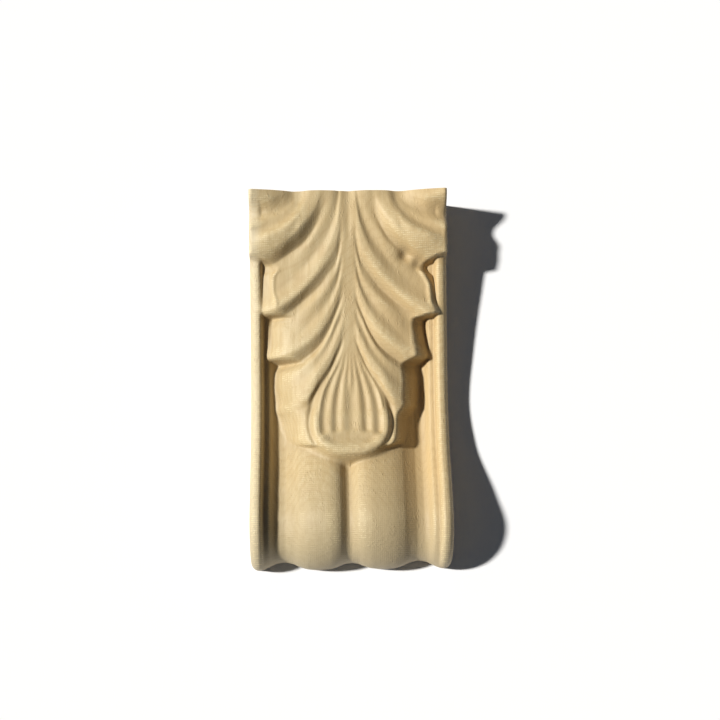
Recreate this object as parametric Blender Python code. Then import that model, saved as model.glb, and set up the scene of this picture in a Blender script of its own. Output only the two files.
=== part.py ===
"""Carved wood applique: a corbel-like bracket cut from one block, with an acanthus leaf hanging
down its front, two full lobes rolling into a scroll below it, and a plain bar along each side.

The back is flat on the plane y = 0, the front faces -Y, +Z is up, and the origin is the middle
of the back. Heights h are measured forward from the back, and drops d down from the top cut.
"""

import bpy
import numpy as np

# Block, in metres
HEIGHT = 0.150
WIDTH = 0.079
TOP_DEPTH = 0.0229
WAIST_DEPTH = 0.0106
WAIST_DROP = 0.082
SCROLL_RADIUS = 0.0195
SCROLL_DEPTH = 0.0236
THINNEST_WOOD = 0.002

# Side bars and the hollows beside the lobes
BAR_WIDTH = 0.0046
BAR_EDGE_ROUND = 0.0030
QUIRK_DEPTH = 0.0034
BEAD_OFFSET = 0.0070
BEAD_DEPTH = 0.0035
BEAD_WIDTH = 0.0024
BAR_CORNER = 0.0013
COVE_OFFSET = 0.0111
COVE_DEPTH = 0.0069
VALLEY_DEPTH = 0.0036
VALLEY_SHIFT = -0.0009
UNDERSIDE_COVE = 0.0031
UNDERSIDE_VALLEY = 0.0025

# Leaf: how far it stands out and how deep it is cut
LEAF_LENGTH = 0.1075
GROOVE_DEPTH = 0.0030
RIM_RISE = 0.0005
BUD_WIDTH = 0.0274
BUD_SHIFT = 0.0004
FLUTE_DEPTH = 0.0010
FILLET = 0.0016
LEFT_FILLET = 0.0030
RIGHT_ROUND = 0.0013
LEFT_ROUND = 0.0040
LIP_FALL = 1.45
SIDE_CORNER = 0.0009

# Surface grid and the share of its faces that the finished solid keeps
COLUMNS = 168
ROWS = 210
MOST_TRIANGLES = 9400

# The carving is drawn on a sheet of these many units, one unit to a millimetre at full size
SHEET_WIDTH = 79.0
SHEET_LEAF = 107.5
SHEET_GROOVE = 2.7

HALF = WIDTH / 2
SCROLL_DROP = HEIGHT - SCROLL_RADIUS
SCROLL_CENTRE = SCROLL_DEPTH - SCROLL_RADIUS
UNIT_X = WIDTH / SHEET_WIDTH
UNIT_D = LEAF_LENGTH / SHEET_LEAF
UNIT_H = 0.001
UNIT_R = GROOVE_DEPTH / SHEET_GROOVE

# Leaf on its sheet: places across one half of it, and the drop of each groove there
PLACES = (3, 5, 8, 12, 17, 23, 30, 38)
GROOVES = (
    (-30.4, -13.9, 0.6, 12, 19.9, 24.4, 28.7, 32.4),
    (20.8, 28.3, 32.8, 38.1, 42.6, 47.4, 52.2, 61.1),
    (43.3, 48.1, 55.4, 61.7, 66, 69.4, 70.3, 75.2),
    (61.4, 65.9, 72.2, 78, 85.8, 88.4, 93.7, 98.7),
)
# Stations across, from the stem to the tips, and the height of each groove's floor there
STATIONS = (3, 7, 13, 24)
GROOVE_HEIGHTS = (
    (-1.2, -1.2, -0.9, -1.6),
    (-0.4, -0.5, -1.0, -1.1),
    (-0.4, -0.5, -1.0, -2.6),
    (-0.4, -0.6, -0.7, -3.3),
)
# The three lower lobes: edge, valley, pipe and brow, each as shares of the way from the
# groove above it to the one below it, then heights, at the stations
LOBES = (
    (
        ((0.28, 0.30, 0.14, 0.12), (-0.9, -0.6, -0.3, -1.2)),
        ((0.48, 0.48, 0.38, 0.35), (-0.8, -0.8, -0.7, -0.5)),
        ((0.70, 0.71, 0.66, 0.49), (0.1, 0.4, 0.9, -0.1)),
        ((0.82, 0.82, 0.76, 0.80), (0.1, 0.5, 1.2, 1.4)),
    ),
    (
        ((0.21, 0.23, 0.20, 0.18), (0.0, 0.2, 0.4, -1.4)),
        ((0.42, 0.44, 0.41, 0.54), (-0.3, -0.3, 0.0, -0.4)),
        ((0.64, 0.67, 0.66, 0.68), (0.2, 0.5, 1.0, 0.0)),
        ((0.80, 0.78, 0.74, 0.74), (0.1, 0.5, 1.1, 0.1)),
    ),
    (
        ((0.18, 0.16, 0.19, 0.19), (0.0, 0.2, 0.2, -2.0)),
        ((0.36, 0.33, 0.32, 0.41), (-0.3, -0.1, 0.2, -2.1)),
        ((0.66, 0.65, 0.63, 0.64), (0.3, 0.6, 0.9, -2.0)),
        ((0.82, 0.80, 0.80, 0.74), (0.2, 0.5, 0.7, -2.2)),
    ),
)
# How sharply a groove's two walls meet, from 0 for a round floor to 1 for straight walls
CREASE = 0.7
RIB_BELOW_GROOVE = 4.0
RIB_HEIGHTS = (0, 0, -0.5, -3.5)

# Top lobe: its hollow, second ridge, inner groove, pipe and brow, as (across, drop, height)
TOP_LOBE = (
    ((14, -12, -1.3), (18, -3, -0.9), (22, 0.6, -0.4),
     (26, 0.8, 1.0), (31, 2.5, 2.3), (38, 1.4, 3.5)),
    ((14, -11, -1.2), (18, -1.5, -0.9), (22, 3.7, -0.3),
     (26, 6.7, 0.1), (31, 8.4, 0.2), (38, 9.3, -1.1)),
    ((14, -10, -0.6), (18, -0.4, -0.7), (22, 5.4, 0),
     (26, 9.1, 0.6), (31, 12.3, 1), (38, 15, 1.3)),
    ((14, -8, -0.1), (18, 1.4, -0.3), (22, 8.3, 0.6),
     (26, 11.8, 1), (31, 14.3, 1.1), (38, 16.3, 1.1)),
    ((10, -10, 0.0), (14, 1, 0.6), (18, 8.2, 1.4), (22, 13.7, 2.4),
     (26, 16.7, 2.9), (31, 18.8, 3), (38, 20.8, 1.7)),
    ((8, -10, -0.2), (10.5, -2, 0.2), (12.5, 4.8, 0.7), (16, 10.8, 1.5),
     (20, 15.6, 2.2), (27, 21.4, 2.3), (38, 24.6, 1.4)),
)

# Stem: its height along the leaf as (drop, height), its groove at the top and ridge below
STEM_LINE = ((0, 21.7), (12, 22), (25, 20.3), (40, 17), (60, 15.8),
             (80, 15.2), (92, 16.4), (100, 17.9), (107, 19.3), (150, 26))
STEM_GROOVE = -0.36
STEM_RIDGE = -0.02

# Outer edge of the leaf's teeth, as (drop, across), and how steeply they fall beyond it
TEETH = ((0, 46), (24.4, 46), (25.5, 38), (27, 34), (28.4, 31), (30, 29.6), (31.5, 29.8),
         (33, 31), (36, 32), (40, 32.5), (44, 33), (47.4, 34), (48.6, 34), (49.6, 29.5),
         (51, 25), (53, 24.6), (57, 25), (60, 25.3), (64, 26), (65.8, 26.2), (67, 24),
         (69, 20.7), (71, 20.5), (74, 21), (78, 21.3), (82, 21.2), (85, 21.4), (87, 20.4),
         (89.5, 18.8), (92, 18.2), (95, 18.1), (98, 18), (100.5, 17), (103, 8), (105, -40))
FLANKS = ((28, 0.75), (47, 0.75), (52, 1.0), (64, 1.0), (72, 1.2), (86, 1.3), (94, 1.4), (104, 2.2))

# Each side's own reach beyond that edge, as (drop, farther). The right side falls more steeply
LEFT_REACH = ((34, 0), (40, -1.0), (44, -2.5), (47.4, -3.8), (48.6, -4.4), (49.6, -4.2),
              (51, 0.6), (54, 2.2), (57, 1.5), (63, 0.3), (66.6, 0.2), (68, -1.6), (69.6, 0.6),
              (71.6, 2.4), (76, 2.4), (84, 1.2), (88, 2.6), (94, 1.6), (104, 0))
RIGHT_REACH = ((29, -0.4), (34, 0.3), (38, 1.2), (46, 0.9), (50, 0.8), (66, 0.6), (90, 0))
RIGHT_FLANKS = ((28, 1.7), (47, 1.7), (52, 1.4), (64, 1.4), (72, 1.6), (94, 1.8), (104, 2.2))

# Eyes drilled where the right side's first groove ends, as (across, drop, radius, depth)
EYES = ((22.6, 26.0, 2.5, 1.5), (28.2, 29.4, 2.7, 1.3))

# Drops between which the left side's edge grows softer
LEFT_SOFTENS = (26, 34)

# Ring round the bud above its widest place, as (drop, half width as a share of the most), then
# the drops where it is widest and where it ends, where it rises clear and where its flutes end
BUD_SHOULDER = ((54, 0.03), (60, 0.17), (65, 0.30), (70, 0.45), (75, 0.66), (80, 0.84),
                (84, 0.93), (88, 0.98), (92, 1.0))
BUD_WIDEST = 92.0
BUD_END = 104.0
BUD_RISES = (78, 91)
FLUTES_END = 97.2
RIBS = (0.0, 0.27, 0.60, 1.0)


def smooth_curve(points, at):
    """Monotone cubic through points (x, y, ...), one result for each further column.

    Each tangent is the harmonic mean of the slopes beside it, or nought at a peak, so the curve
    never swings past its points. Beyond the ends it runs straight on.
    """
    table = np.array(points, float)
    x = table[:, 0]
    results = []
    for y in table[:, 1:].T:
        slope = np.diff(y) / np.diff(x)
        before, after = slope[:-1], slope[1:]
        same = before * after > 0
        mean = np.zeros_like(before)
        mean[same] = 2 * before[same] * after[same] / (before[same] + after[same])
        tangent = np.concatenate([slope[:1], mean, slope[-1:]])
        k = np.clip(np.searchsorted(x, at) - 1, 0, len(x) - 2)
        width = x[k + 1] - x[k]
        t = np.clip((at - x[k]) / width, 0, 1)
        inside = (
            (1 + 2 * t) * (1 - t) ** 2 * y[k]
            + t * (1 - t) ** 2 * width * tangent[k]
            + t * t * (3 - 2 * t) * y[k + 1]
            + t * t * (t - 1) * width * tangent[k + 1]
        )
        beyond = np.minimum(at - x[0], 0) * slope[0] + np.maximum(at - x[-1], 0) * slope[-1]
        results.append(inside + beyond)
    return results[0] if len(results) == 1 else results


def held_curve(points, at):
    """The same curve, held level at its first and last points."""
    return smooth_curve(points, np.clip(at, points[0][0], points[-1][0]))


def ease(value, start, end):
    """Smooth step from 0 at start to 1 at end."""
    t = np.clip((value - start) / (end - start), 0, 1)
    return t * t * (3 - 2 * t)


def bell(value, middle, spread):
    """Bell curve of height 1."""
    return np.exp(-(((value - middle) / spread) ** 2))


def soft_maximum(one, other, fillet):
    """The larger of two heights, with a small fillet where they meet."""
    near = np.clip(1 - np.abs(one - other) / fillet, 0, 1)
    return np.maximum(one, other) + fillet / 4 * near**2


def front_profile(along):
    """Drop, height and outward normal of the side bars' front, for distances along it.

    A hollow curve runs from the top cut past the waist to the front of the scroll, a quarter
    circle turns under, and a straight run goes back to the wall.
    """
    curve = (
        (0, TOP_DEPTH),
        (WAIST_DROP * 0.39, WAIST_DEPTH + (TOP_DEPTH - WAIST_DEPTH) * 0.53),
        (WAIST_DROP * 0.73, WAIST_DEPTH + (TOP_DEPTH - WAIST_DEPTH) * 0.18),
        (WAIST_DROP, WAIST_DEPTH),
        (WAIST_DROP + (SCROLL_DROP - WAIST_DROP) * 0.34,
         WAIST_DEPTH + (SCROLL_DEPTH - WAIST_DEPTH) * 0.16),
        (WAIST_DROP + (SCROLL_DROP - WAIST_DROP) * 0.74,
         WAIST_DEPTH + (SCROLL_DEPTH - WAIST_DEPTH) * 0.72),
        (SCROLL_DROP, SCROLL_DEPTH),
        (HEIGHT, SCROLL_DEPTH),
    )
    quarter = SCROLL_RADIUS * np.pi / 2
    drop = np.minimum(along, SCROLL_DROP)
    height = smooth_curve(curve, drop)
    step = 1e-5
    slope = (smooth_curve(curve, drop + step) - smooth_curve(curve, drop - step)) / (2 * step)
    angle = np.clip((along - SCROLL_DROP) / SCROLL_RADIUS, 0, np.pi / 2)
    under = np.clip(along - SCROLL_DROP - quarter, 0, SCROLL_CENTRE)
    turned = along > SCROLL_DROP
    length = np.hypot(slope, 1)
    drop = np.where(turned, SCROLL_DROP + SCROLL_RADIUS * np.sin(angle), drop)
    height = np.where(turned, SCROLL_CENTRE + SCROLL_RADIUS * np.cos(angle) - under, height)
    normal_drop = np.where(turned, np.sin(angle), -slope / length)
    normal_height = np.where(turned, np.cos(angle), 1 / length)
    return drop, height, normal_drop, normal_height


def body_relief(across, turned):
    """How far the body's surface lies below the side bars' front, across the block.

    From the side inward: a rounded bar, a narrow quirk, a bead, a cove, then a full lobe that
    falls into the valley in the middle. As turned goes from 0 at the front of the scroll to 1
    at its underside, this passes over into two lobes with wide, shallow hollows between them.
    """
    inner = HALF - BAR_WIDTH
    bead = HALF - BEAD_OFFSET
    cove = HALF - COVE_OFFSET
    front = (
        (0, -VALLEY_DEPTH),
        (cove * 0.035, -VALLEY_DEPTH * 0.90),
        (cove * 0.071, -VALLEY_DEPTH * 0.68),
        (cove * 0.141, -VALLEY_DEPTH * 0.27),
        (cove * 0.212, -VALLEY_DEPTH * 0.07),
        (cove * 0.29, 0.0),
        (cove * 0.43, -COVE_DEPTH * 0.05),
        (cove * 0.57, -COVE_DEPTH * 0.17),
        (cove * 0.71, -COVE_DEPTH * 0.41),
        (cove * 0.78, -COVE_DEPTH * 0.61),
        (cove * 0.86, -COVE_DEPTH * 0.82),
        (cove * 0.92, -COVE_DEPTH * 0.95),
        (cove, -COVE_DEPTH),
        (bead - BEAD_WIDTH * 1.25, -BEAD_DEPTH - (COVE_DEPTH - BEAD_DEPTH) * 0.90),
        (bead - BEAD_WIDTH * 0.85, -BEAD_DEPTH - (COVE_DEPTH - BEAD_DEPTH) * 0.70),
        (bead - BEAD_WIDTH * 0.25, -BEAD_DEPTH - (COVE_DEPTH - BEAD_DEPTH) * 0.12),
        (bead, -BEAD_DEPTH),
        (bead + BEAD_WIDTH * 0.5, -QUIRK_DEPTH),
        (inner - BAR_CORNER * 0.6, -QUIRK_DEPTH),
        (inner + BAR_CORNER * 0.15, -BAR_CORNER * 0.6),
        (inner + BAR_CORNER, 0.0),
        (HALF, 0.0),
    )
    underside = (
        (0, -UNDERSIDE_VALLEY),
        (inner * 0.07, -UNDERSIDE_VALLEY * 0.90),
        (inner * 0.14, -UNDERSIDE_VALLEY * 0.52),
        (inner * 0.24, -UNDERSIDE_VALLEY * 0.14),
        (inner * 0.38, 0.0),
        (inner * 0.48, -UNDERSIDE_COVE * 0.08),
        (inner * 0.58, -UNDERSIDE_COVE * 0.38),
        (inner * 0.67, -UNDERSIDE_COVE * 0.80),
        (inner * 0.76, -UNDERSIDE_COVE),
        (inner * 0.84, -UNDERSIDE_COVE * 0.88),
        (inner * 0.92, -UNDERSIDE_COVE * 0.50),
        (inner * 0.99, -UNDERSIDE_COVE * 0.16),
        (inner * 1.04, 0.0),
        (HALF, 0.0),
    )
    shift = VALLEY_SHIFT * bell(across, 0, inner * 0.25)
    at_front = smooth_curve(front, np.abs(across - shift))
    at_back = smooth_curve(underside, np.abs(across))
    edge = np.clip((np.abs(across) - HALF + BAR_EDGE_ROUND) / BAR_EDGE_ROUND, 0, 1)
    rounded = BAR_EDGE_ROUND * (1 - np.sqrt(1 - 0.98 * edge**2))
    return at_front + (at_back - at_front) * turned - rounded


def leaf_rails(x):
    """The lines across the leaf from top to bottom: their drops and their heights at each x.

    The top lobe has its own lines. Each lobe below it has an edge, a valley, a pipe and a brow
    between the groove above it and the groove below it. The last line is the rib by the bud.
    """
    station = np.clip(x, STATIONS[0], STATIONS[-1])

    def along_stations(values):
        return smooth_curve(tuple(zip(STATIONS, values)), station)

    drops = []
    heights = []
    for line in TOP_LOBE:
        drop, height = smooth_curve(line, x)
        drops.append(drop)
        heights.append(height)
    grooves = [smooth_curve(tuple(zip(PLACES, line)), x) for line in GROOVES]
    floors = [along_stations(values) for values in GROOVE_HEIGHTS]
    drops.append(grooves[0])
    heights.append(floors[0])
    for k, lobe in enumerate(LOBES):
        for shares, rises in lobe:
            drops.append(grooves[k] + (grooves[k + 1] - grooves[k]) * along_stations(shares))
            heights.append(along_stations(rises))
        drops.append(grooves[k + 1])
        heights.append(floors[k + 1])
    rib = along_stations(RIB_HEIGHTS)
    for below in (RIB_BELOW_GROOVE, SHEET_LEAF):
        drops.append(grooves[-1] + below)
        heights.append(rib)
    return drops, heights


def leaf_relief(x, drop):
    """Height of the leaf's carving above its stem line, on the sheet.

    At each place across, a monotone cubic runs down the leaf through the rails, level on each
    ridge and on each groove's floor. Near the stem it passes over into the stem's own shape.
    """
    drops, heights = leaf_rails(np.maximum(x, STATIONS[0] - 0.4))
    for k in range(1, len(drops)):
        drops[k] = np.maximum(drops[k], drops[k - 1] + 0.05)
    gaps = [below - above for above, below in zip(drops, drops[1:])]
    slopes = [(low - high) / gap for high, low, gap in zip(heights, heights[1:], gaps)]
    level = np.zeros_like(x)
    tangents = [level]
    for before, after in zip(slopes, slopes[1:]):
        same = before * after > 0
        tangents.append(
            np.where(same, 2 * before * after / np.where(same, before + after, 1), level))
    tangents.append(level)
    arriving = list(tangents)
    leaving = list(tangents)
    for k in range(len(TOP_LOBE), len(drops) - 1, len(LOBES[0]) + 1):
        arriving[k] = np.minimum(slopes[k - 1], 0) * CREASE
        leaving[k] = np.maximum(slopes[k], 0) * CREASE
    total = heights[0] + level
    for k, gap in enumerate(gaps):
        t = np.clip((drop - drops[k]) / gap, 0, 1)
        inside = (
            (1 + 2 * t) * (1 - t) ** 2 * heights[k]
            + t * (1 - t) ** 2 * gap * leaving[k]
            + t * t * (3 - 2 * t) * heights[k + 1]
            + t * t * (t - 1) * gap * arriving[k + 1]
        )
        total = np.where(drop >= drops[k], inside, total)
    stem = (
        STEM_GROOVE * bell(x, 0, 1.6) * (1 - ease(drop, 12, 24))
        + STEM_RIDGE * bell(x, 0, 2.2) * ease(drop, 20, 26) * (1 - ease(drop, 34, 48))
    )
    return (stem + (total - stem) * ease(x, 1.6, 4.0)) * UNIT_R


def bud_shape(across, drop):
    """Signed distance outside the crest of the bud's ring, in units, and the share across it.

    Above its widest place the ring follows the shoulder curve, and below it half an ellipse.
    """
    half = BUD_WIDTH / 2 / UNIT_X
    share = smooth_curve(BUD_SHOULDER, np.minimum(drop, BUD_WIDEST))
    wide = half * np.clip(share, 0.03, 1)
    below = np.maximum(drop - BUD_WIDEST, 0) / (BUD_END - BUD_WIDEST)
    ring = (np.abs(across / half) ** 2.4 + below**2.4) ** (1 / 2.4)
    outside = np.where(drop > BUD_WIDEST, (ring - 1) * half, np.abs(across) - wide)
    return outside, across / wide


def bud_relief(across, drop):
    """Height of the fluted bud above the stem line: ribs with round flutes between them that
    end in scallops, a channel below them, and a smooth raised ring round it all."""
    outside, share = bud_shape(across, drop)
    u = np.abs(share)
    flutes = np.zeros_like(u)
    for low, high in zip(RIBS, RIBS[1:]):
        deep = 1.0 if low else 0.6 * (1 - ease(drop, 72, 84))
        flutes = flutes + deep * bell(u, (low + high) / 2, 0.38 * (high - low))
    dish = 0.8 * bell(u, 0, 0.20) * ease(drop, 72, 84)
    ends = FLUTES_END + 2.0 * np.minimum(u, 1.0) ** 2
    shown = ease(drop, 62, 84) * (1 - ease(drop, ends - 2.6, ends))
    inside = np.clip(-outside / 3.4, 0, 1)
    channel = bell(drop, ends + 1.4, 1.8) * inside
    ring_rise = (1 + np.cos(inside * np.pi)) / 2 * ease(drop, 74, 84)
    return FLUTE_DEPTH * (0.35 * ring_rise - (flutes + dish) * shown - 0.7 * channel)


def leaf_height(across, drop):
    """Height of the leaf and its bud in front of the back, wherever they reach.

    Past the teeth's edge the surface slopes down at the flanks' steepness, and the body takes
    over where it is the higher. Below each tooth the edge runs quickly inward.
    """
    x = np.abs(across) / UNIT_X
    d = drop / UNIT_D
    right = across > 0
    farther = np.where(right, held_curve(RIGHT_REACH, d), held_curve(LEFT_REACH, d))
    reach = smooth_curve(TEETH, d) + farther
    flank = np.where(
        right, np.interp(d, *np.array(RIGHT_FLANKS).T), np.interp(d, *np.array(FLANKS).T))
    softer = np.where(right, 0, LEFT_ROUND * ease(d, *LEFT_SOFTENS))
    width = np.maximum(softer, RIGHT_ROUND) / UNIT_X
    past_edge = (x - reach + width) / width
    rounding = width * (np.clip(past_edge, 0, 2) ** 2 / 4 + np.maximum(past_edge - 2, 0))
    held = x - rounding
    outside, _ = bud_shape((across - BUD_SHIFT) / UNIT_X, d)
    ring_groove = GROOVE_DEPTH * 0.4 * bell(outside, 2.4, 1.3) * ease(d, 77, 88)
    at_side = np.clip((held - HALF / UNIT_X + 1.2) / 1.2, 0, 1) ** 2
    rim = RIM_RISE * bell(reach - x, 1.4, 1.0) * ease(d, 29, 33) * (1 - ease(d, 44, 48))
    base = smooth_curve(STEM_LINE, d) * UNIT_H
    teeth = base + leaf_relief(held, d) + rim - ring_groove - SIDE_CORNER * at_side
    teeth = teeth - flank * UNIT_X * rounding
    for place, low, radius, depth in EYES:
        away = np.hypot(across / UNIT_X - place, d - low)
        teeth = teeth - depth * UNIT_R * bell(away, 0, radius)
    bud = base + bud_relief((across - BUD_SHIFT) / UNIT_X, d)
    fall = np.clip(outside, 0, 1.6) ** 2 / 3.2 + np.maximum(outside - 1.6, 0)
    in_bud = (1 - ease(outside, -1.4, 0.2)) * ease(d, 54, 62)
    joined = teeth + (bud - teeth) * in_bud
    around_bud = bud - LIP_FALL * fall * UNIT_X - 2 * GROOVE_DEPTH * (1 - ease(d, *BUD_RISES))
    return soft_maximum(joined, around_bud, FILLET)


def surface():
    """Grid of points (x, y, z) over the whole front, top cut to the back edge of the underside."""
    inner = np.linspace(-1, 1, COLUMNS - 13) * (HALF - BAR_EDGE_ROUND)
    turn = np.sin(np.linspace(0, np.pi / 2, 8)[1:]) * BAR_EDGE_ROUND
    across = np.concatenate([
        -(HALF - BAR_EDGE_ROUND + turn)[::-1], inner, HALF - BAR_EDGE_ROUND + turn])
    whole = SCROLL_DROP + SCROLL_RADIUS * np.pi / 2 + SCROLL_CENTRE
    along = np.linspace(0, whole, ROWS)
    drop, height, normal_drop, normal_height = front_profile(along)
    turned = ease(along, SCROLL_DROP, whole - SCROLL_CENTRE)
    relief = body_relief(across[:, None], turned[None, :])
    at_top = ease(along, 0, 0.004)[None, :]
    drop = drop[None, :] + relief * normal_drop[None, :] * at_top
    height = height[None, :] + relief * normal_height[None, :]
    wide = np.broadcast_to(across[:, None], drop.shape)
    leaf = leaf_height(wide, drop)
    before_scroll = along[None, :] < SCROLL_DROP - 0.004
    fillet = np.where(wide < 0, LEFT_FILLET, FILLET)
    height = np.where(before_scroll, soft_maximum(height, leaf, fillet), height)
    behind = along[None, :] >= whole - SCROLL_CENTRE
    height = np.where(behind, height, np.maximum(height, THINNEST_WOOD))
    height[:, -1] = 0
    return wide, -height, HEIGHT / 2 - drop


def wood():
    """Bare pale hardwood."""
    material = bpy.data.materials.new("bare_wood")
    material.use_nodes = True
    shader = material.node_tree.nodes["Principled BSDF"]
    shader.inputs["Base Color"].default_value = (0.66, 0.52, 0.32, 1)
    shader.inputs["Roughness"].default_value = 0.62
    shader.inputs["Metallic"].default_value = 0.0
    return material


def applique():
    """The front grid closed by a flat top, two flat sides and a flat back."""
    x, y, z = surface()
    columns, rows = x.shape
    points = np.stack([x, y, z], axis=-1).reshape(-1, 3)
    back = [(-HALF, 0, HEIGHT / 2), (HALF, 0, HEIGHT / 2)]
    index = np.arange(columns * rows).reshape(columns, rows)
    faces = np.stack(
        [index[:-1, :-1], index[:-1, 1:], index[1:, 1:], index[1:, :-1]], axis=-1
    ).reshape(-1, 4).tolist()
    left, right = columns * rows, columns * rows + 1
    faces.append(index[:, 0].tolist() + [right, left])
    faces.append(index[0, ::-1].tolist() + [left])
    faces.append(index[-1, :].tolist() + [right])
    faces.append(index[::-1, -1].tolist() + [left, right])
    mesh = bpy.data.meshes.new("carved_applique")
    mesh.from_pydata(points.tolist() + back, [], faces)
    mesh.materials.append(wood())
    solid = bpy.data.objects.new("carved_applique", mesh)
    bpy.context.scene.collection.objects.link(solid)
    fewer = solid.modifiers.new("fewer_faces", "DECIMATE")
    fewer.ratio = MOST_TRIANGLES / (2 * (columns - 1) * (rows - 1) + 2 * (columns + rows))
    fewer.use_collapse_triangulate = True
    return solid


for old in list(bpy.data.objects):
    bpy.data.objects.remove(old, do_unlink=True)
applique()
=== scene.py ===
"""A carved wood applique lying on its flat back on a white surface, lit from the upper left."""

import bpy
import numpy as np
from mathutils import Matrix, Vector


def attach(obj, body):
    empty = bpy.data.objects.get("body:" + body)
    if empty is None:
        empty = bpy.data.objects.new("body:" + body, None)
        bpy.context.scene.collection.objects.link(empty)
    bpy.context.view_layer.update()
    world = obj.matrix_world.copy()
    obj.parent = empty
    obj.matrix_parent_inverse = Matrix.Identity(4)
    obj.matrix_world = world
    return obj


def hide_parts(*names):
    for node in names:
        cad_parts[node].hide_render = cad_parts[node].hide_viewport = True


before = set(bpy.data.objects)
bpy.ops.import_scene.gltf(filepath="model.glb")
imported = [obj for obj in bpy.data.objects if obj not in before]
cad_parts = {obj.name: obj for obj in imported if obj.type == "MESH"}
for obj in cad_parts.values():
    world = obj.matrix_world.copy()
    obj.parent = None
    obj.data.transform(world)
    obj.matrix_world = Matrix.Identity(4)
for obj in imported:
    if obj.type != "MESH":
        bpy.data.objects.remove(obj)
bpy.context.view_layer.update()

# Camera: half a metre in front, level with the scroll and a little left of the middle. It looks
# slightly upward, so the long sides draw together towards the top of the block.
CAMERA_PLACE = Vector((-0.01018, -0.51714, -0.06630))
CAMERA_LOOK = Vector((0.02827, 0.98898, 0.14533))
CAMERA_UP = Vector((0.00977, -0.14566, 0.98929))
camera_data = bpy.data.cameras.new("camera")
camera_data.lens = 63.75
camera_data.sensor_width = 36.0
camera = bpy.data.objects.new("camera", camera_data)
across_view = CAMERA_LOOK.cross(CAMERA_UP).normalized()
turn = Matrix((across_view, across_view.cross(CAMERA_LOOK), -CAMERA_LOOK)).transposed()
camera.matrix_world = Matrix.Translation(CAMERA_PLACE) @ turn.to_4x4()
bpy.context.scene.collection.objects.link(camera)
bpy.context.scene.camera = camera

# Light: one key lamp from the upper left, soft at its edges, a faint even fill from all round, and
# a lamp straight behind that reaches nothing but the flat back.
KEY_DIRECTION = Vector((1.06, 1.0, -0.143))
key_data = bpy.data.lights.new("key", "SUN")
key_data.energy = 4.7
key_data.angle = 0.07
key_data.color = (1.0, 0.985, 0.955)
key = bpy.data.objects.new("key", key_data)
key.rotation_euler = KEY_DIRECTION.to_track_quat("-Z", "Y").to_euler()
bpy.context.scene.collection.objects.link(key)
behind_data = bpy.data.lights.new("behind", "SUN")
behind_data.energy = 2.2
behind = bpy.data.objects.new("behind", behind_data)
behind.rotation_euler = Vector((0, -1, 0)).to_track_quat("-Z", "Z").to_euler()
bpy.context.scene.collection.objects.link(behind)
world = bpy.data.worlds.new("studio")
world.use_nodes = True
background = world.node_tree.nodes["Background"]
background.inputs["Color"].default_value = (0.72, 0.82, 1.0, 1)
background.inputs["Strength"].default_value = 0.066
bpy.context.scene.world = world
bpy.context.scene.view_settings.view_transform = "Standard"

# Surface under the block: a large white sheet just behind its flat back, open where the block
# hides it. It can be seen through from behind, so that the back can be looked at too.
SHEET_GAP = 0.0004
SHEET_REACH = 3.0
OPENING_REACH = 0.0391
OPENING_LOW = -0.0714
OPENING_HIGH = 0.0746
sheet_rows = []
for reach, low, high in ((SHEET_REACH, -SHEET_REACH, SHEET_REACH),
                         (OPENING_REACH, OPENING_LOW, OPENING_HIGH)):
    for side_x, end_z in ((-1, low), (1, low), (1, high), (-1, high)):
        sheet_rows.append((side_x * reach, SHEET_GAP, end_z))
sheet_mesh = bpy.data.meshes.new("white_sheet")
sheet_mesh.from_pydata(
    sheet_rows, [], [(k, (k + 1) % 4, 4 + (k + 1) % 4, 4 + k) for k in range(4)])
sheet_paint = bpy.data.materials.new("white_sheet")
sheet_paint.use_nodes = True
nodes = sheet_paint.node_tree.nodes
links = sheet_paint.node_tree.links
nodes["Principled BSDF"].inputs["Base Color"].default_value = (0.95, 0.95, 0.95, 1)
nodes["Principled BSDF"].inputs["Roughness"].default_value = 0.9
clear = nodes.new("ShaderNodeBsdfTransparent")
side = nodes.new("ShaderNodeNewGeometry")
either = nodes.new("ShaderNodeMixShader")
links.new(side.outputs["Backfacing"], either.inputs["Fac"])
links.new(nodes["Principled BSDF"].outputs["BSDF"], either.inputs[1])
links.new(clear.outputs["BSDF"], either.inputs[2])
links.new(either.outputs["Shader"], nodes["Material Output"].inputs["Surface"])
sheet_mesh.materials.append(sheet_paint)
sheet = bpy.data.objects.new("white_sheet", sheet_mesh)
bpy.context.scene.collection.objects.link(sheet)

# Carved applique: one block of pale close-grained hardwood, cut on a carving machine whose ball
# cutter ran to and fro across it and left fine ridges, then lightly sanded and left bare. Its back
# is flat, to be glued or pinned to a wall or cabinet.

# Block, in metres: its outside, then its depth at the top, at the waist and over the scroll
HEIGHT = 0.150
WIDTH = 0.079
TOP_DEPTH = 0.0229
WAIST_DEPTH = 0.0106
WAIST_DROP = 0.082
SCROLL_RADIUS = 0.0195
SCROLL_DEPTH = 0.0236
THINNEST_WOOD = 0.002

# Side bars and the hollows beside the lobes
BAR_WIDTH = 0.0046
BAR_EDGE_ROUND = 0.0030
QUIRK_DEPTH = 0.0034
BEAD_OFFSET = 0.0070
BEAD_DEPTH = 0.0035
BEAD_WIDTH = 0.0024
BAR_CORNER = 0.0013
COVE_OFFSET = 0.0111
COVE_DEPTH = 0.0069
VALLEY_DEPTH = 0.0036
VALLEY_SHIFT = -0.0009
UNDERSIDE_COVE = 0.0031
UNDERSIDE_VALLEY = 0.0025

# Leaf: how far it stands out and how deep it is cut
LEAF_LENGTH = 0.1075
GROOVE_DEPTH = 0.0030
RIM_RISE = 0.0005
BUD_WIDTH = 0.0274
BUD_SHIFT = 0.0004
FLUTE_DEPTH = 0.0010
FILLET = 0.0016
LEFT_FILLET = 0.0030
RIGHT_ROUND = 0.0013
LEFT_ROUND = 0.0040
LIP_FALL = 1.45
SIDE_CORNER = 0.0009

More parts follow.
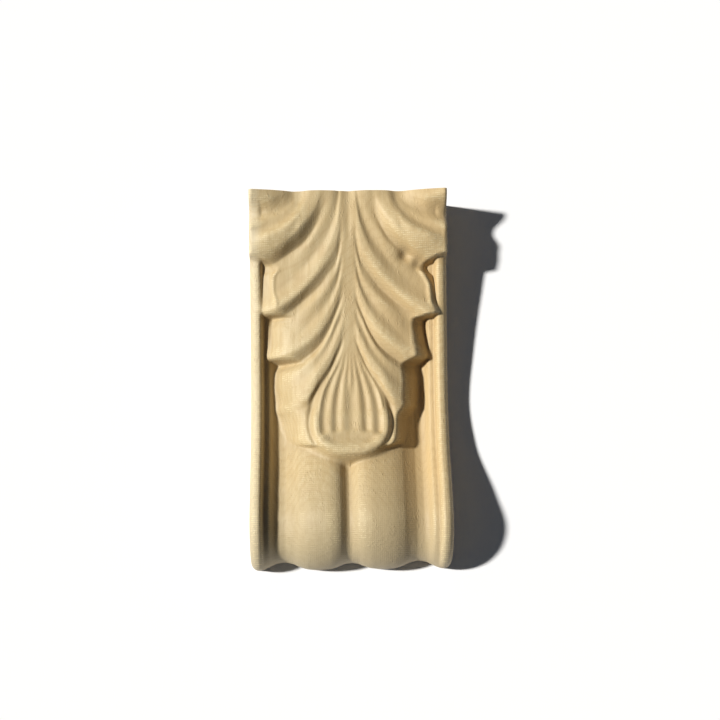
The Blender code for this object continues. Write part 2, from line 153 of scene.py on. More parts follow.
# Surface grid: points across, those in each rounded outer edge, and points from top to wall
COLUMNS = 241
EDGE_COLUMNS = 7
ROWS = 396
# The lobes and hollows fade in over this stretch below the top cut, and the leaf is laid over
# them down to as far above the start of the scroll
FADE = 0.004

# The carving is drawn on a sheet of these many units, one unit to a millimetre at full size
SHEET_WIDTH = 79.0
SHEET_LEAF = 107.5
SHEET_GROOVE = 2.7

HALF = WIDTH / 2
SCROLL_DROP = HEIGHT - SCROLL_RADIUS
SCROLL_CENTRE = SCROLL_DEPTH - SCROLL_RADIUS
# One unit of the sheet in metres: across, down the leaf, in the stem's height and in relief
UNIT_X = WIDTH / SHEET_WIDTH
UNIT_D = LEAF_LENGTH / SHEET_LEAF
UNIT_H = 0.001
UNIT_R = GROOVE_DEPTH / SHEET_GROOVE

# Leaf on its sheet: places across one half of it, and the drop of each groove there
PLACES = (3, 5, 8, 12, 17, 23, 30, 38)
GROOVES = (
    (-30.4, -13.9, 0.6, 12, 19.9, 24.4, 28.7, 32.4),
    (20.8, 28.3, 32.8, 38.1, 42.6, 47.4, 52.2, 61.1),
    (43.3, 48.1, 55.4, 61.7, 66, 69.4, 70.3, 75.2),
    (61.4, 65.9, 72.2, 78, 85.8, 88.4, 93.7, 98.7),
)
# Stations across, from the stem to the tips, and the height of each groove's floor there
STATIONS = (3, 7, 13, 24)
GROOVE_HEIGHTS = (
    (-1.2, -1.2, -0.9, -1.6),
    (-0.4, -0.5, -1.0, -1.1),
    (-0.4, -0.5, -1.0, -2.6),
    (-0.4, -0.6, -0.7, -3.3),
)
# The three lower lobes: edge, valley, pipe and brow, each as shares of the way from the
# groove above it to the one below it, then heights, at the stations
LOBES = (
    (
        ((0.28, 0.30, 0.14, 0.12), (-0.9, -0.6, -0.3, -1.2)),
        ((0.48, 0.48, 0.38, 0.35), (-0.8, -0.8, -0.7, -0.5)),
        ((0.70, 0.71, 0.66, 0.49), (0.1, 0.4, 0.9, -0.1)),
        ((0.82, 0.82, 0.76, 0.80), (0.1, 0.5, 1.2, 1.4)),
    ),
    (
        ((0.21, 0.23, 0.20, 0.18), (0.0, 0.2, 0.4, -1.4)),
        ((0.42, 0.44, 0.41, 0.54), (-0.3, -0.3, 0.0, -0.4)),
        ((0.64, 0.67, 0.66, 0.68), (0.2, 0.5, 1.0, 0.0)),
        ((0.80, 0.78, 0.74, 0.74), (0.1, 0.5, 1.1, 0.1)),
    ),
    (
        ((0.18, 0.16, 0.19, 0.19), (0.0, 0.2, 0.2, -2.0)),
        ((0.36, 0.33, 0.32, 0.41), (-0.3, -0.1, 0.2, -2.1)),
        ((0.66, 0.65, 0.63, 0.64), (0.3, 0.6, 0.9, -2.0)),
        ((0.82, 0.80, 0.80, 0.74), (0.2, 0.5, 0.7, -2.2)),
    ),
)
# How sharply a groove's two walls meet, from 0 for a round floor to 1 for straight walls
CREASE = 0.7
RIB_BELOW_GROOVE = 4.0
RIB_HEIGHTS = (0, 0, -0.5, -3.5)

# Top lobe: its hollow, second ridge, inner groove, pipe and brow, as (across, drop, height)
TOP_LOBE = (
    ((14, -12, -1.3), (18, -3, -0.9), (22, 0.6, -0.4),
     (26, 0.8, 1.0), (31, 2.5, 2.3), (38, 1.4, 3.5)),
    ((14, -11, -1.2), (18, -1.5, -0.9), (22, 3.7, -0.3),
     (26, 6.7, 0.1), (31, 8.4, 0.2), (38, 9.3, -1.1)),
    ((14, -10, -0.6), (18, -0.4, -0.7), (22, 5.4, 0),
     (26, 9.1, 0.6), (31, 12.3, 1), (38, 15, 1.3)),
    ((14, -8, -0.1), (18, 1.4, -0.3), (22, 8.3, 0.6),
     (26, 11.8, 1), (31, 14.3, 1.1), (38, 16.3, 1.1)),
    ((10, -10, 0.0), (14, 1, 0.6), (18, 8.2, 1.4), (22, 13.7, 2.4),
     (26, 16.7, 2.9), (31, 18.8, 3), (38, 20.8, 1.7)),
    ((8, -10, -0.2), (10.5, -2, 0.2), (12.5, 4.8, 0.7), (16, 10.8, 1.5),
     (20, 15.6, 2.2), (27, 21.4, 2.3), (38, 24.6, 1.4)),
)

# Stem: its height along the leaf as (drop, height), its groove at the top and ridge below
STEM_LINE = ((0, 21.7), (12, 22), (25, 20.3), (40, 17), (60, 15.8),
             (80, 15.2), (92, 16.4), (100, 17.9), (107, 19.3), (150, 26))
STEM_GROOVE = -0.36
STEM_RIDGE = -0.02

# Outer edge of the leaf's teeth, as (drop, across), and how steeply they fall beyond it
TEETH = ((0, 46), (24.4, 46), (25.5, 38), (27, 34), (28.4, 31), (30, 29.6), (31.5, 29.8),
         (33, 31), (36, 32), (40, 32.5), (44, 33), (47.4, 34), (48.6, 34), (49.6, 29.5),
         (51, 25), (53, 24.6), (57, 25), (60, 25.3), (64, 26), (65.8, 26.2), (67, 24),
         (69, 20.7), (71, 20.5), (74, 21), (78, 21.3), (82, 21.2), (85, 21.4), (87, 20.4),
         (89.5, 18.8), (92, 18.2), (95, 18.1), (98, 18), (100.5, 17), (103, 8), (105, -40))
FLANKS = ((28, 0.75), (47, 0.75), (52, 1.0), (64, 1.0), (72, 1.2), (86, 1.3), (94, 1.4), (104, 2.2))

# Each side's own reach beyond that edge, as (drop, farther). The right side falls more steeply
LEFT_REACH = ((34, 0), (40, -1.0), (44, -2.5), (47.4, -3.8), (48.6, -4.4), (49.6, -4.2),
              (51, 0.6), (54, 2.2), (57, 1.5), (63, 0.3), (66.6, 0.2), (68, -1.6), (69.6, 0.6),
              (71.6, 2.4), (76, 2.4), (84, 1.2), (88, 2.6), (94, 1.6), (104, 0))
RIGHT_REACH = ((29, -0.4), (34, 0.3), (38, 1.2), (46, 0.9), (50, 0.8), (66, 0.6), (90, 0))
RIGHT_FLANKS = ((28, 1.7), (47, 1.7), (52, 1.4), (64, 1.4), (72, 1.6), (94, 1.8), (104, 2.2))

# Eyes drilled where the right side's first groove ends, as (across, drop, radius, depth)
EYES = ((22.6, 26.0, 2.5, 1.5), (28.2, 29.4, 2.7, 1.3))

# Drops between which the left side's edge grows softer
LEFT_SOFTENS = (26, 34)

# Ring round the bud above its widest place, as (drop, half width as a share of the most), then
# the drops where it is widest and where it ends, where it rises clear and where its flutes end
BUD_SHOULDER = ((54, 0.03), (60, 0.17), (65, 0.30), (70, 0.45), (75, 0.66), (80, 0.84),
                (84, 0.93), (88, 0.98), (92, 1.0))
BUD_WIDEST = 92.0
BUD_END = 104.0
BUD_RISES = (78, 91)
FLUTES_END = 97.2
RIBS = (0.0, 0.27, 0.60, 1.0)


def smooth_curve(points, at):
    """Monotone cubic through points (x, y, ...), one result for each further column.

    Each tangent is the harmonic mean of the slopes beside it, or nought at a peak, so the curve
    never swings past its points. Beyond the ends it runs straight on.
    """
    table = np.array(points, float)
    x = table[:, 0]
    results = []
    for y in table[:, 1:].T:
        slope = np.diff(y) / np.diff(x)
        before, after = slope[:-1], slope[1:]
        same = before * after > 0
        mean = np.zeros_like(before)
        mean[same] = 2 * before[same] * after[same] / (before[same] + after[same])
        tangent = np.concatenate([slope[:1], mean, slope[-1:]])
        k = np.clip(np.searchsorted(x, at) - 1, 0, len(x) - 2)
        width = x[k + 1] - x[k]
        t = np.clip((at - x[k]) / width, 0, 1)
        inside = (
            (1 + 2 * t) * (1 - t) ** 2 * y[k]
            + t * (1 - t) ** 2 * width * tangent[k]
            + t * t * (3 - 2 * t) * y[k + 1]
            + t * t * (t - 1) * width * tangent[k + 1]
        )
        beyond = np.minimum(at - x[0], 0) * slope[0] + np.maximum(at - x[-1], 0) * slope[-1]
        results.append(inside + beyond)
    return results[0] if len(results) == 1 else results


def held_curve(points, at):
    """The same curve, held level at its first and last points."""
    return smooth_curve(points, np.clip(at, points[0][0], points[-1][0]))


def ease(value, start, end):
    """Smooth step from 0 at start to 1 at end."""
    t = np.clip((value - start) / (end - start), 0, 1)
    return t * t * (3 - 2 * t)


def bell(value, middle, spread):
    """Bell curve of height 1."""
    return np.exp(-(((value - middle) / spread) ** 2))


def soft_maximum(one, other, fillet):
    """The larger of two heights, with a small fillet where they meet."""
    near = np.clip(1 - np.abs(one - other) / fillet, 0, 1)
    return np.maximum(one, other) + fillet / 4 * near**2


def front_profile(along):
    """Drop, height and outward normal of the side bars' front, for distances along it.

    A hollow curve runs from the top cut past the waist to the front of the scroll, a quarter
    circle turns under, and a straight run goes back to the wall.
    """
    curve = (
        (0, TOP_DEPTH),
        (WAIST_DROP * 0.39, WAIST_DEPTH + (TOP_DEPTH - WAIST_DEPTH) * 0.53),
        (WAIST_DROP * 0.73, WAIST_DEPTH + (TOP_DEPTH - WAIST_DEPTH) * 0.18),
        (WAIST_DROP, WAIST_DEPTH),
        (WAIST_DROP + (SCROLL_DROP - WAIST_DROP) * 0.34,
         WAIST_DEPTH + (SCROLL_DEPTH - WAIST_DEPTH) * 0.16),
        (WAIST_DROP + (SCROLL_DROP - WAIST_DROP) * 0.74,
         WAIST_DEPTH + (SCROLL_DEPTH - WAIST_DEPTH) * 0.72),
        (SCROLL_DROP, SCROLL_DEPTH),
        (HEIGHT, SCROLL_DEPTH),
    )
    quarter = SCROLL_RADIUS * np.pi / 2
    drop = np.minimum(along, SCROLL_DROP)
    height = smooth_curve(curve, drop)
    step = 1e-5
    slope = (smooth_curve(curve, drop + step) - smooth_curve(curve, drop - step)) / (2 * step)
    angle = np.clip((along - SCROLL_DROP) / SCROLL_RADIUS, 0, np.pi / 2)
    under = np.clip(along - SCROLL_DROP - quarter, 0, SCROLL_CENTRE)
    turned = along > SCROLL_DROP
    length = np.hypot(slope, 1)
    drop = np.where(turned, SCROLL_DROP + SCROLL_RADIUS * np.sin(angle), drop)
    height = np.where(turned, SCROLL_CENTRE + SCROLL_RADIUS * np.cos(angle) - under, height)
    normal_drop = np.where(turned, np.sin(angle), -slope / length)
    normal_height = np.where(turned, np.cos(angle), 1 / length)
    return drop, height, normal_drop, normal_height


def body_relief(across, turned):
    """How far the body's surface lies below the side bars' front, across the block.

    From the side inward: a rounded bar, a narrow quirk, a bead, a cove, then a full lobe that
    falls into the valley in the middle. As turned goes from 0 at the front of the scroll to 1
    at its underside, this passes over into two lobes with wide, shallow hollows between them.
    """
    inner = HALF - BAR_WIDTH
    bead = HALF - BEAD_OFFSET
    cove = HALF - COVE_OFFSET
    front = (
        (0, -VALLEY_DEPTH),
        (cove * 0.035, -VALLEY_DEPTH * 0.90),
        (cove * 0.071, -VALLEY_DEPTH * 0.68),
        (cove * 0.141, -VALLEY_DEPTH * 0.27),
        (cove * 0.212, -VALLEY_DEPTH * 0.07),
        (cove * 0.29, 0.0),
        (cove * 0.43, -COVE_DEPTH * 0.05),
        (cove * 0.57, -COVE_DEPTH * 0.17),
        (cove * 0.71, -COVE_DEPTH * 0.41),
        (cove * 0.78, -COVE_DEPTH * 0.61),
        (cove * 0.86, -COVE_DEPTH * 0.82),
        (cove * 0.92, -COVE_DEPTH * 0.95),
        (cove, -COVE_DEPTH),
        (bead - BEAD_WIDTH * 1.25, -BEAD_DEPTH - (COVE_DEPTH - BEAD_DEPTH) * 0.90),
        (bead - BEAD_WIDTH * 0.85, -BEAD_DEPTH - (COVE_DEPTH - BEAD_DEPTH) * 0.70),
        (bead - BEAD_WIDTH * 0.25, -BEAD_DEPTH - (COVE_DEPTH - BEAD_DEPTH) * 0.12),
        (bead, -BEAD_DEPTH),
        (bead + BEAD_WIDTH * 0.5, -QUIRK_DEPTH),
        (inner - BAR_CORNER * 0.6, -QUIRK_DEPTH),
        (inner + BAR_CORNER * 0.15, -BAR_CORNER * 0.6),
        (inner + BAR_CORNER, 0.0),
        (HALF, 0.0),
    )
    underside = (
        (0, -UNDERSIDE_VALLEY),
        (inner * 0.07, -UNDERSIDE_VALLEY * 0.90),
        (inner * 0.14, -UNDERSIDE_VALLEY * 0.52),
        (inner * 0.24, -UNDERSIDE_VALLEY * 0.14),
        (inner * 0.38, 0.0),
        (inner * 0.48, -UNDERSIDE_COVE * 0.08),
        (inner * 0.58, -UNDERSIDE_COVE * 0.38),
        (inner * 0.67, -UNDERSIDE_COVE * 0.80),
        (inner * 0.76, -UNDERSIDE_COVE),
        (inner * 0.84, -UNDERSIDE_COVE * 0.88),
        (inner * 0.92, -UNDERSIDE_COVE * 0.50),
        (inner * 0.99, -UNDERSIDE_COVE * 0.16),
        (inner * 1.04, 0.0),
        (HALF, 0.0),
    )
    shift = VALLEY_SHIFT * bell(across, 0, inner * 0.25)
    at_front = smooth_curve(front, np.abs(across - shift))
    at_back = smooth_curve(underside, np.abs(across))
    edge = np.clip((np.abs(across) - HALF + BAR_EDGE_ROUND) / BAR_EDGE_ROUND, 0, 1)
    rounded = BAR_EDGE_ROUND * (1 - np.sqrt(1 - 0.98 * edge**2))
    return at_front + (at_back - at_front) * turned - rounded


def leaf_rails(x):
    """The lines across the leaf from top to bottom: their drops and their heights at each x.

    The top lobe has its own lines. Each lobe below it has an edge, a valley, a pipe and a brow
    between the groove above it and the groove below it. The last line is the rib by the bud.
    """
    station = np.clip(x, STATIONS[0], STATIONS[-1])

    def along_stations(values):
        return smooth_curve(tuple(zip(STATIONS, values)), station)

    drops = []
    heights = []
    for line in TOP_LOBE:
        drop, height = smooth_curve(line, x)
        drops.append(drop)
        heights.append(height)
    grooves = [smooth_curve(tuple(zip(PLACES, line)), x) for line in GROOVES]
    floors = [along_stations(values) for values in GROOVE_HEIGHTS]
    drops.append(grooves[0])
    heights.append(floors[0])
    for k, lobe in enumerate(LOBES):
        for shares, rises in lobe:
            drops.append(grooves[k] + (grooves[k + 1] - grooves[k]) * along_stations(shares))
            heights.append(along_stations(rises))
        drops.append(grooves[k + 1])
        heights.append(floors[k + 1])
    rib = along_stations(RIB_HEIGHTS)
    for below in (RIB_BELOW_GROOVE, SHEET_LEAF):
        drops.append(grooves[-1] + below)
        heights.append(rib)
    return drops, heights


def leaf_relief(x, drop):
    """Height of the leaf's carving above its stem line, on the sheet.

    At each place across, a monotone cubic runs down the leaf through the rails, level on each
    ridge and on each groove's floor. Near the stem it passes over into the stem's own shape.
    """
    drops, heights = leaf_rails(np.maximum(x, STATIONS[0] - 0.4))
    for k in range(1, len(drops)):
        drops[k] = np.maximum(drops[k], drops[k - 1] + 0.05)
    gaps = [below - above for above, below in zip(drops, drops[1:])]
    slopes = [(low - high) / gap for high, low, gap in zip(heights, heights[1:], gaps)]
    level = np.zeros_like(x)
    tangents = [level]
    for before, after in zip(slopes, slopes[1:]):
        same = before * after > 0
        tangents.append(
            np.where(same, 2 * before * after / np.where(same, before + after, 1), level))
    tangents.append(level)
    arriving = list(tangents)
    leaving = list(tangents)
    for k in range(len(TOP_LOBE), len(drops) - 1, len(LOBES[0]) + 1):
        arriving[k] = np.minimum(slopes[k - 1], 0) * CREASE
        leaving[k] = np.maximum(slopes[k], 0) * CREASE
    total = heights[0] + level
    for k, gap in enumerate(gaps):
        t = np.clip((drop - drops[k]) / gap, 0, 1)
        inside = (
            (1 + 2 * t) * (1 - t) ** 2 * heights[k]
            + t * (1 - t) ** 2 * gap * leaving[k]
            + t * t * (3 - 2 * t) * heights[k + 1]
            + t * t * (t - 1) * gap * arriving[k + 1]
        )
        total = np.where(drop >= drops[k], inside, total)
    stem = (
        STEM_GROOVE * bell(x, 0, 1.6) * (1 - ease(drop, 12, 24))
        + STEM_RIDGE * bell(x, 0, 2.2) * ease(drop, 20, 26) * (1 - ease(drop, 34, 48))
    )
    return (stem + (total - stem) * ease(x, 1.6, 4.0)) * UNIT_R


def bud_shape(across, drop):
    """Signed distance outside the crest of the bud's ring, in units, and the share across it.

    Above its widest place the ring follows the shoulder curve, and below it half an ellipse.
    """
    half = BUD_WIDTH / 2 / UNIT_X
    share = smooth_curve(BUD_SHOULDER, np.minimum(drop, BUD_WIDEST))
    wide = half * np.clip(share, 0.03, 1)
    below = np.maximum(drop - BUD_WIDEST, 0) / (BUD_END - BUD_WIDEST)
    ring = (np.abs(across / half) ** 2.4 + below**2.4) ** (1 / 2.4)
    outside = np.where(drop > BUD_WIDEST, (ring - 1) * half, np.abs(across) - wide)
    return outside, across / wide


def bud_relief(across, drop):
    """Height of the fluted bud above the stem line: ribs with round flutes between them that
    end in scallops, a channel below them, and a smooth raised ring round it all."""
    outside, share = bud_shape(across, drop)
    u = np.abs(share)
    flutes = np.zeros_like(u)
    for low, high in zip(RIBS, RIBS[1:]):
        deep = 1.0 if low else 0.6 * (1 - ease(drop, 72, 84))
        flutes = flutes + deep * bell(u, (low + high) / 2, 0.38 * (high - low))
    dish = 0.8 * bell(u, 0, 0.20) * ease(drop, 72, 84)
    ends = FLUTES_END + 2.0 * np.minimum(u, 1.0) ** 2
    shown = ease(drop, 62, 84) * (1 - ease(drop, ends - 2.6, ends))
    inside = np.clip(-outside / 3.4, 0, 1)
    channel = bell(drop, ends + 1.4, 1.8) * inside
    ring_rise = (1 + np.cos(inside * np.pi)) / 2 * ease(drop, 74, 84)
    return FLUTE_DEPTH * (0.35 * ring_rise - (flutes + dish) * shown - 0.7 * channel)


def leaf_height(across, drop):
    """Height of the leaf and its bud in front of the back, wherever they reach.

    Past the teeth's edge the surface slopes down at the flanks' steepness, and the body takes
    over where it is the higher. Below each tooth the edge runs quickly inward.
    """
    x = np.abs(across) / UNIT_X
    d = drop / UNIT_D
    right = across > 0
    farther = np.where(right, held_curve(RIGHT_REACH, d), held_curve(LEFT_REACH, d))
    reach = smooth_curve(TEETH, d) + farther
    flank = np.where(
        right, np.interp(d, *np.array(RIGHT_FLANKS).T), np.interp(d, *np.array(FLANKS).T))
    softer = np.where(right, 0, LEFT_ROUND * ease(d, *LEFT_SOFTENS))
    width = np.maximum(softer, RIGHT_ROUND) / UNIT_X
    past_edge = (x - reach + width) / width
    rounding = width * (np.clip(past_edge, 0, 2) ** 2 / 4 + np.maximum(past_edge - 2, 0))
    held = x - rounding
    outside, _ = bud_shape((across - BUD_SHIFT) / UNIT_X, d)
    ring_groove = GROOVE_DEPTH * 0.4 * bell(outside, 2.4, 1.3) * ease(d, 77, 88)
    at_side = np.clip((held - HALF / UNIT_X + 1.2) / 1.2, 0, 1) ** 2
    rim = RIM_RISE * bell(reach - x, 1.4, 1.0) * ease(d, 29, 33) * (1 - ease(d, 44, 48))
    base = smooth_curve(STEM_LINE, d) * UNIT_H
    teeth = base + leaf_relief(held, d) + rim - ring_groove - SIDE_CORNER * at_side
    teeth = teeth - flank * UNIT_X * rounding
    for place, low, radius, depth in EYES:
        away = np.hypot(across / UNIT_X - place, d - low)
        teeth = teeth - depth * UNIT_R * bell(away, 0, radius)
    bud = base + bud_relief((across - BUD_SHIFT) / UNIT_X, d)
    fall = np.clip(outside, 0, 1.6) ** 2 / 3.2 + np.maximum(outside - 1.6, 0)
    in_bud = (1 - ease(outside, -1.4, 0.2)) * ease(d, 54, 62)
    joined = teeth + (bud - teeth) * in_bud
    around_bud = bud - LIP_FALL * fall * UNIT_X - 2 * GROOVE_DEPTH * (1 - ease(d, *BUD_RISES))
    return soft_maximum(joined, around_bud, FILLET)


def surface():
    """Grid of points (x, y, z) over the whole front, top cut to the back edge of the underside.

    The body is the side bars' profile carried across the block, moved along its own normal by
    the body's relief. Above the scroll the leaf is laid over it: the higher of the two counts.
    """
    inner = np.linspace(-1, 1, COLUMNS - 2 * EDGE_COLUMNS) * (HALF - BAR_EDGE_ROUND)
    turn = np.sin(np.linspace(0, np.pi / 2, EDGE_COLUMNS + 1)[1:]) * BAR_EDGE_ROUND
    across = np.concatenate([
        -(HALF - BAR_EDGE_ROUND + turn)[::-1], inner, HALF - BAR_EDGE_ROUND + turn])
    whole = SCROLL_DROP + SCROLL_RADIUS * np.pi / 2 + SCROLL_CENTRE
    along = np.linspace(0, whole, ROWS)
    drop, height, normal_drop, normal_height = front_profile(along)
    turned = ease(along, SCROLL_DROP, whole - SCROLL_CENTRE)
    relief = body_relief(across[:, None], turned[None, :])
    at_top = ease(along, 0, FADE)[None, :]
    drop = drop[None, :] + relief * normal_drop[None, :] * at_top
    height = height[None, :] + relief * normal_height[None, :]
    wide = np.broadcast_to(across[:, None], drop.shape)
    leaf = leaf_height(wide, drop)
    before_scroll = along[None, :] < SCROLL_DROP - FADE
    fillet = np.where(wide < 0, LEFT_FILLET, FILLET)
    height = np.where(before_scroll, soft_maximum(height, leaf, fillet), height)
    behind = along[None, :] >= whole - SCROLL_CENTRE
    height = np.where(behind, height, np.maximum(height, THINNEST_WOOD))
    height[:, -1] = 0
    return wide, -height, HEIGHT / 2 - drop


# Rings of grid points that a hollow is measured against, and the depth that counts as full
HOLLOW_RINGS = (2, 4, 7)
FULL_HOLLOW = 0.0008


def hollow_share(height):
    """How far each point lies in a hollow, or stands on a ridge where it is below nought.

    It is the mean height of the points round it, taken three times over wider and wider rings,
    less its own height, over the depth of a full hollow, and held between -1 and 1.
    """
    mean = height
    for reach in HOLLOW_RINGS:
        low = np.pad(mean, reach, mode="edge")
        mean = sum(
            low[reach + i:low.shape[0] - reach + i, reach + j:low.shape[1] - reach + j]
            for i in (-reach, 0, reach) for j in (-reach, 0, reach)) / 9
    return np.clip((mean - height) / FULL_HOLLOW, -1, 1)


def cutter_share(across, height, level, bent):
    """How plainly the cutter's passes show at each point, from 0 to 1.

    They show most where it had to climb: on steep walls and on narrow ridges. They also show
    along the front of the scroll, and hardly at all on the flat faces. The share is the sum of
    a part that is the same everywhere and one for each of these, held at 1.
    """
    steep = ease(np.hypot(*np.gradient(height, across, level)), 0.2, 0.8)
    ridge = np.clip(-bent, 0, 1)
    scroll = bell(level, HEIGHT / 2 - SCROLL_DROP + 0.003, 0.010)[None, :]
    return np.clip(0.25 + 0.45 * ridge + 0.35 * steep + 0.5 * scroll, 0, 1)


# The grid is closed by four flat faces: both sides, top cut and back. The edges round them stay
# sharp, and the two measures of the carved surface are nought on them.
x, y, z = surface()
columns, rows = x.shape
corners = np.array([(-HALF, 0, HEIGHT / 2), (HALF, 0, HEIGHT / 2)])
points = np.concatenate([np.stack([x, y, z], axis=-1).reshape(-1, 3), corners])
index = np.arange(columns * rows).reshape(columns, rows)
grid_faces = np.stack(
    [index[:-1, :-1], index[:-1, 1:], index[1:, 1:], index[1:, :-1]], axis=-1).reshape(-1, 4)
left = columns * rows
right = left + 1
closing = [
    index[:, 0].tolist() + [right, left],
    index[0, ::-1].tolist() + [left],
    index[-1, :].tolist() + [right],
    index[::-1, -1].tolist() + [left, right],
]
mesh = bpy.data.meshes.new("carved_wood")
mesh.from_pydata(points, [], grid_faces.tolist() + closing)
smooth = np.ones(len(grid_faces) + len(closing), bool)
smooth[len(grid_faces):] = False
mesh.polygons.foreach_set("use_smooth", smooth)
# How far each point lies in a hollow or on a ridge. It carries the painted shade in the grooves,
# the painted highlights on the ridges, and how plainly the cutter's passes show.
bent = hollow_share(-y)
marks = cutter_share(x[:, 0], -y, np.linspace(HEIGHT / 2, -HEIGHT / 2, rows), bent)
at_corners = np.empty(len(mesh.loops), int)
mesh.loops.foreach_get("vertex_index", at_corners)
on_front = np.arange(len(at_corners)) < grid_faces.size
for name, shares in (("hollow", bent), ("marks", marks)):
    layer = mesh.attributes.new(name, "FLOAT", "CORNER")
    layer.data.foreach_set("value", np.append(shares.ravel(), [0, 0])[at_corners] * on_front)
ends = np.empty(len(mesh.edges) * 2, int)
mesh.edges.foreach_get("vertices", ends)
outline = np.zeros(len(points), bool)
outline[np.concatenate([index[0], index[-1], index[:, 0], index[:, -1], [left, right]])] = True
crisp = mesh.attributes.new("sharp_edge", "BOOLEAN", "EDGE")
crisp.data.foreach_set("value", outline[ends].reshape(-1, 2).all(axis=1))

# Bare wood. Every pattern in it is read at the object's own coordinates, so the grain runs
# straight through the block whichever way the carving cuts it.
wood = bpy.data.materials.new("bare_pale_wood")
wood.use_nodes = True
nodes = wood.node_tree.nodes
links = wood.node_tree.links
shader = nodes["Principled BSDF"]
shader.inputs["Specular IOR Level"].default_value = 0.45
place = nodes.new("ShaderNodeTexCoord")


def noise(stretch, scale, detail):
    """Noise read at the object's own coordinates, each axis multiplied by its stretch."""
    mapping = nodes.new("ShaderNodeMapping")
    mapping.inputs["Scale"].default_value = stretch
    links.new(place.outputs["Object"], mapping.inputs["Vector"])
    texture = nodes.new("ShaderNodeTexNoise")
    texture.inputs["Scale"].default_value = scale
    texture.inputs["Detail"].default_value = detail
    links.new(mapping.outputs["Vector"], texture.inputs["Vector"])
    return texture.outputs["Fac"]


def mix(share, low, high):
    """Colour that goes from low to high as the share goes from 0 to 1."""
    node = nodes.new("ShaderNodeMix")
    node.data_type = "RGBA"
    for socket, value in ((node.inputs["Factor"], share), (node.inputs["A"], low),
                          (node.inputs["B"], high)):
        if isinstance(value, bpy.types.NodeSocket):
            links.new(value, socket)
        else:
            socket.default_value = value
    return node.outputs["Result"]


def between(value, start, end, low=0.0, high=1.0):
    """Value carried from the range start to end on to the range low to high, held at its ends."""
    node = nodes.new("ShaderNodeMapRange")
    for name, number in (("From Min", start), ("From Max", end), ("To Min", low),
                         ("To Max", high)):
        node.inputs[name].default_value = number
    links.new(value, node.inputs["Value"])
    return node.outputs["Result"]


def bands(direction, turn, scale, distortion, detail_scale):
    """Straight waves across one axis of the object, turned a little and bent by noise."""
    mapping = nodes.new("ShaderNodeMapping")
    mapping.inputs["Rotation"].default_value = turn
    links.new(place.outputs["Object"], mapping.inputs["Vector"])
    texture = nodes.new("ShaderNodeTexWave")
    texture.bands_direction = direction
    texture.inputs["Scale"].default_value = scale
    texture.inputs["Distortion"].default_value = distortion
    texture.inputs["Detail"].default_value = 2.0
    texture.inputs["Detail Scale"].default_value = detail_scale
    links.new(mapping.outputs["Vector"], texture.inputs["Vector"])
    return texture.outputs["Fac"]


def reckon(operation, one, other):
    """Two values put together by one operation."""
    node = nodes.new("ShaderNodeMath")
    node.operation = operation
    for socket, value in zip(node.inputs, (one, other)):
        if isinstance(value, bpy.types.NodeSocket):
            links.new(value, socket)
        else:
            socket.default_value = value
    return node.outputs["Value"]


def read(name):
    """One of the mesh's own attributes."""
    node = nodes.new("ShaderNodeAttribute")
    node.attribute_name = name
    return node.outputs["Fac"]


# Colours of the wood, pale to dark, and three of painted light: a cream painted highlight for the
# left bar, a glint painted highlight for the ridges, and a brown painted shade for the grooves
PALE = (0.600, 0.472, 0.262, 1)
STRAW = (0.530, 0.403, 0.205, 1)
PEACH = (0.612, 0.438, 0.212, 1)
LEFT_BAR_HIGHLIGHT = (0.640, 0.555, 0.380, 1)
PAINTED_GLINT = (0.760, 0.635, 0.375, 1)
OLIVE = (0.420, 0.355, 0.228, 1)
TAN = (0.430, 0.285, 0.125, 1)
GROOVE_SHADE = (0.250, 0.165, 0.078, 1)

# What the wood grew with: streaks along the block, patches, mottling, and growth lines that the
# carving cuts across in arcs.
axes = nodes.new("ShaderNodeSeparateXYZ")
links.new(place.outputs["Object"], axes.inputs["Vector"])
streaks = noise((1, 1, 0.07), 700, 4)
fine_streaks = noise((1, 1, 0.04), 2600, 2)
patches = noise((1, 1, 0.4), 55, 3)
mottle = noise((1, 1, 0.45), 240, 4)
growth = bands("Y", (0.10, 0.05, 0.22), 300, 3.0, 0.25)

# What the cutter left: passes 0.8 mm apart, broken here and there, and steps as far apart across
# each pass. Where both cross a narrow ridge, a row of dots carries the painted glints the ridge
# catches.
MARKS_SCALE = 393
broken = between(noise((1, 1, 1.2), 620, 3), 0.38, 0.62, 0.15, 1)
passes = reckon("MULTIPLY", bands("Z", (0, 0, 0), MARKS_SCALE, 0.9, 1.6), broken)
steps = bands("X", (0, 0, 0), MARKS_SCALE, 1.6, 2.0)
bent_in = read("hollow")
crossing = reckon("MULTIPLY", passes, between(steps, 0, 1, 0.55, 1))
on_ridge = reckon("MULTIPLY", crossing, between(bent_in, -0.24, -0.62))
painted_glint_dots = between(on_ridge, 0.22, 0.68, 0, 0.72)
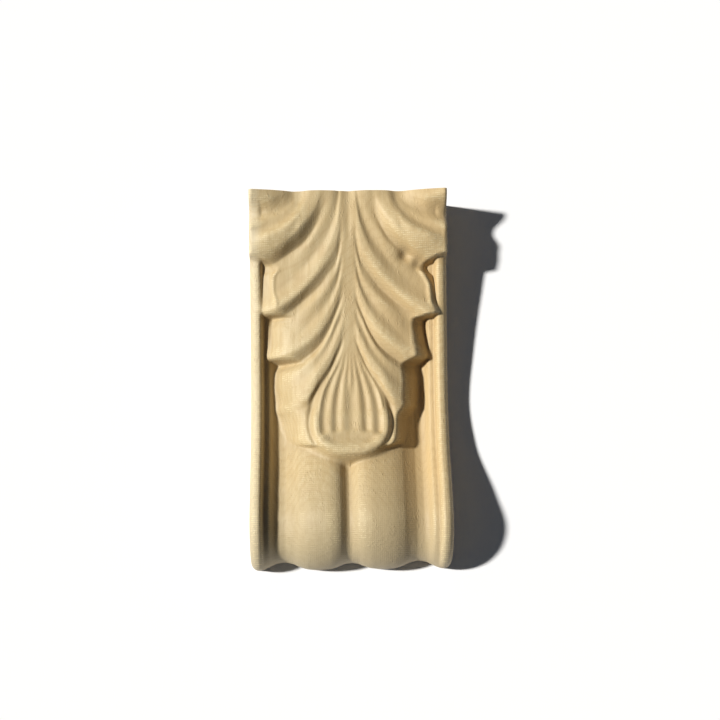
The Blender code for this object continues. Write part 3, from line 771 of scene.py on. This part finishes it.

# Colour: pale straw with all these, warmer towards the right, a painted highlight paler on the left
# bar, duller towards the foot, painted shade in brown down in the grooves, a painted highlight a
# little lighter on the ridges, and painted glints in rows of dots along the narrow ridges.
colour = mix(between(streaks, 0.35, 0.68), PALE, STRAW)
colour = mix(between(patches, 0.45, 0.75, 0, 0.5), colour, PEACH)
colour = mix(between(mottle, 0.50, 0.72, 0, 0.22), colour, TAN)
colour = mix(between(axes.outputs["X"], -0.010, 0.030, 0, 0.70), colour, PEACH)
# Painted highlight: the left bar made paler, where the key lamp from the left strikes it full
colour = mix(between(axes.outputs["X"], -0.0375, -0.0345, 0.7, 0), colour, LEFT_BAR_HIGHLIGHT)
colour = mix(between(growth, 0.60, 1.0, 0, 0.18), colour, TAN)
colour = mix(between(fine_streaks, 0.55, 0.80, 0, 0.35), colour, TAN)
colour = mix(between(axes.outputs["Z"], -0.036, -0.070, 0, 0.60), colour, OLIVE)
# Painted shade: brown laid into the hollows, strongest where they are deepest
colour = mix(between(bent_in, 0.15, 1.0, 0, 0.18), colour, GROOVE_SHADE)
# Painted highlight: the ridges made a little lighter, as if catching the light
colour = mix(between(bent_in, -0.15, -0.9, 0, 0.16), colour, PAINTED_GLINT)
# Painted glints: bright dots where the cutter's passes cross the narrow ridges
colour = mix(painted_glint_dots, colour, PAINTED_GLINT)
links.new(colour, shader.inputs["Base Color"])
links.new(between(patches, 0.3, 0.7, 0.50, 0.66), shader.inputs["Roughness"])

# Relief too fine for the mesh: the cutter's passes and steps, open pores along the grain, and
# short torn fibres, in patches, where it cut against the grain.
RELIEF_DEPTH = 0.00008
fibres = noise((1, 1, 0.25), 3800, 3)
torn_patches = between(noise((1, 1, 0.5), 380, 2), 0.52, 0.66)
torn = reckon("MULTIPLY", torn_patches, between(noise((1, 1, 0.6), 1500, 2), 0.50, 0.75))
cuts = reckon("ADD", passes, reckon("MULTIPLY", steps, 0.25))
relief = reckon("MULTIPLY", cuts, read("marks"))
relief = reckon("ADD", relief, reckon("MULTIPLY", fibres, 0.9))
relief = reckon("ADD", relief, reckon("MULTIPLY", torn, 1.6))
bump = nodes.new("ShaderNodeBump")
bump.inputs["Strength"].default_value = 0.9
bump.inputs["Distance"].default_value = RELIEF_DEPTH
links.new(relief, bump.inputs["Height"])
links.new(bump.outputs["Normal"], shader.inputs["Normal"])
mesh.materials.append(wood)
applique = bpy.data.objects.new("carved_wood", mesh)
bpy.context.scene.collection.objects.link(applique)
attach(applique, "root")
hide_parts("carved_applique")
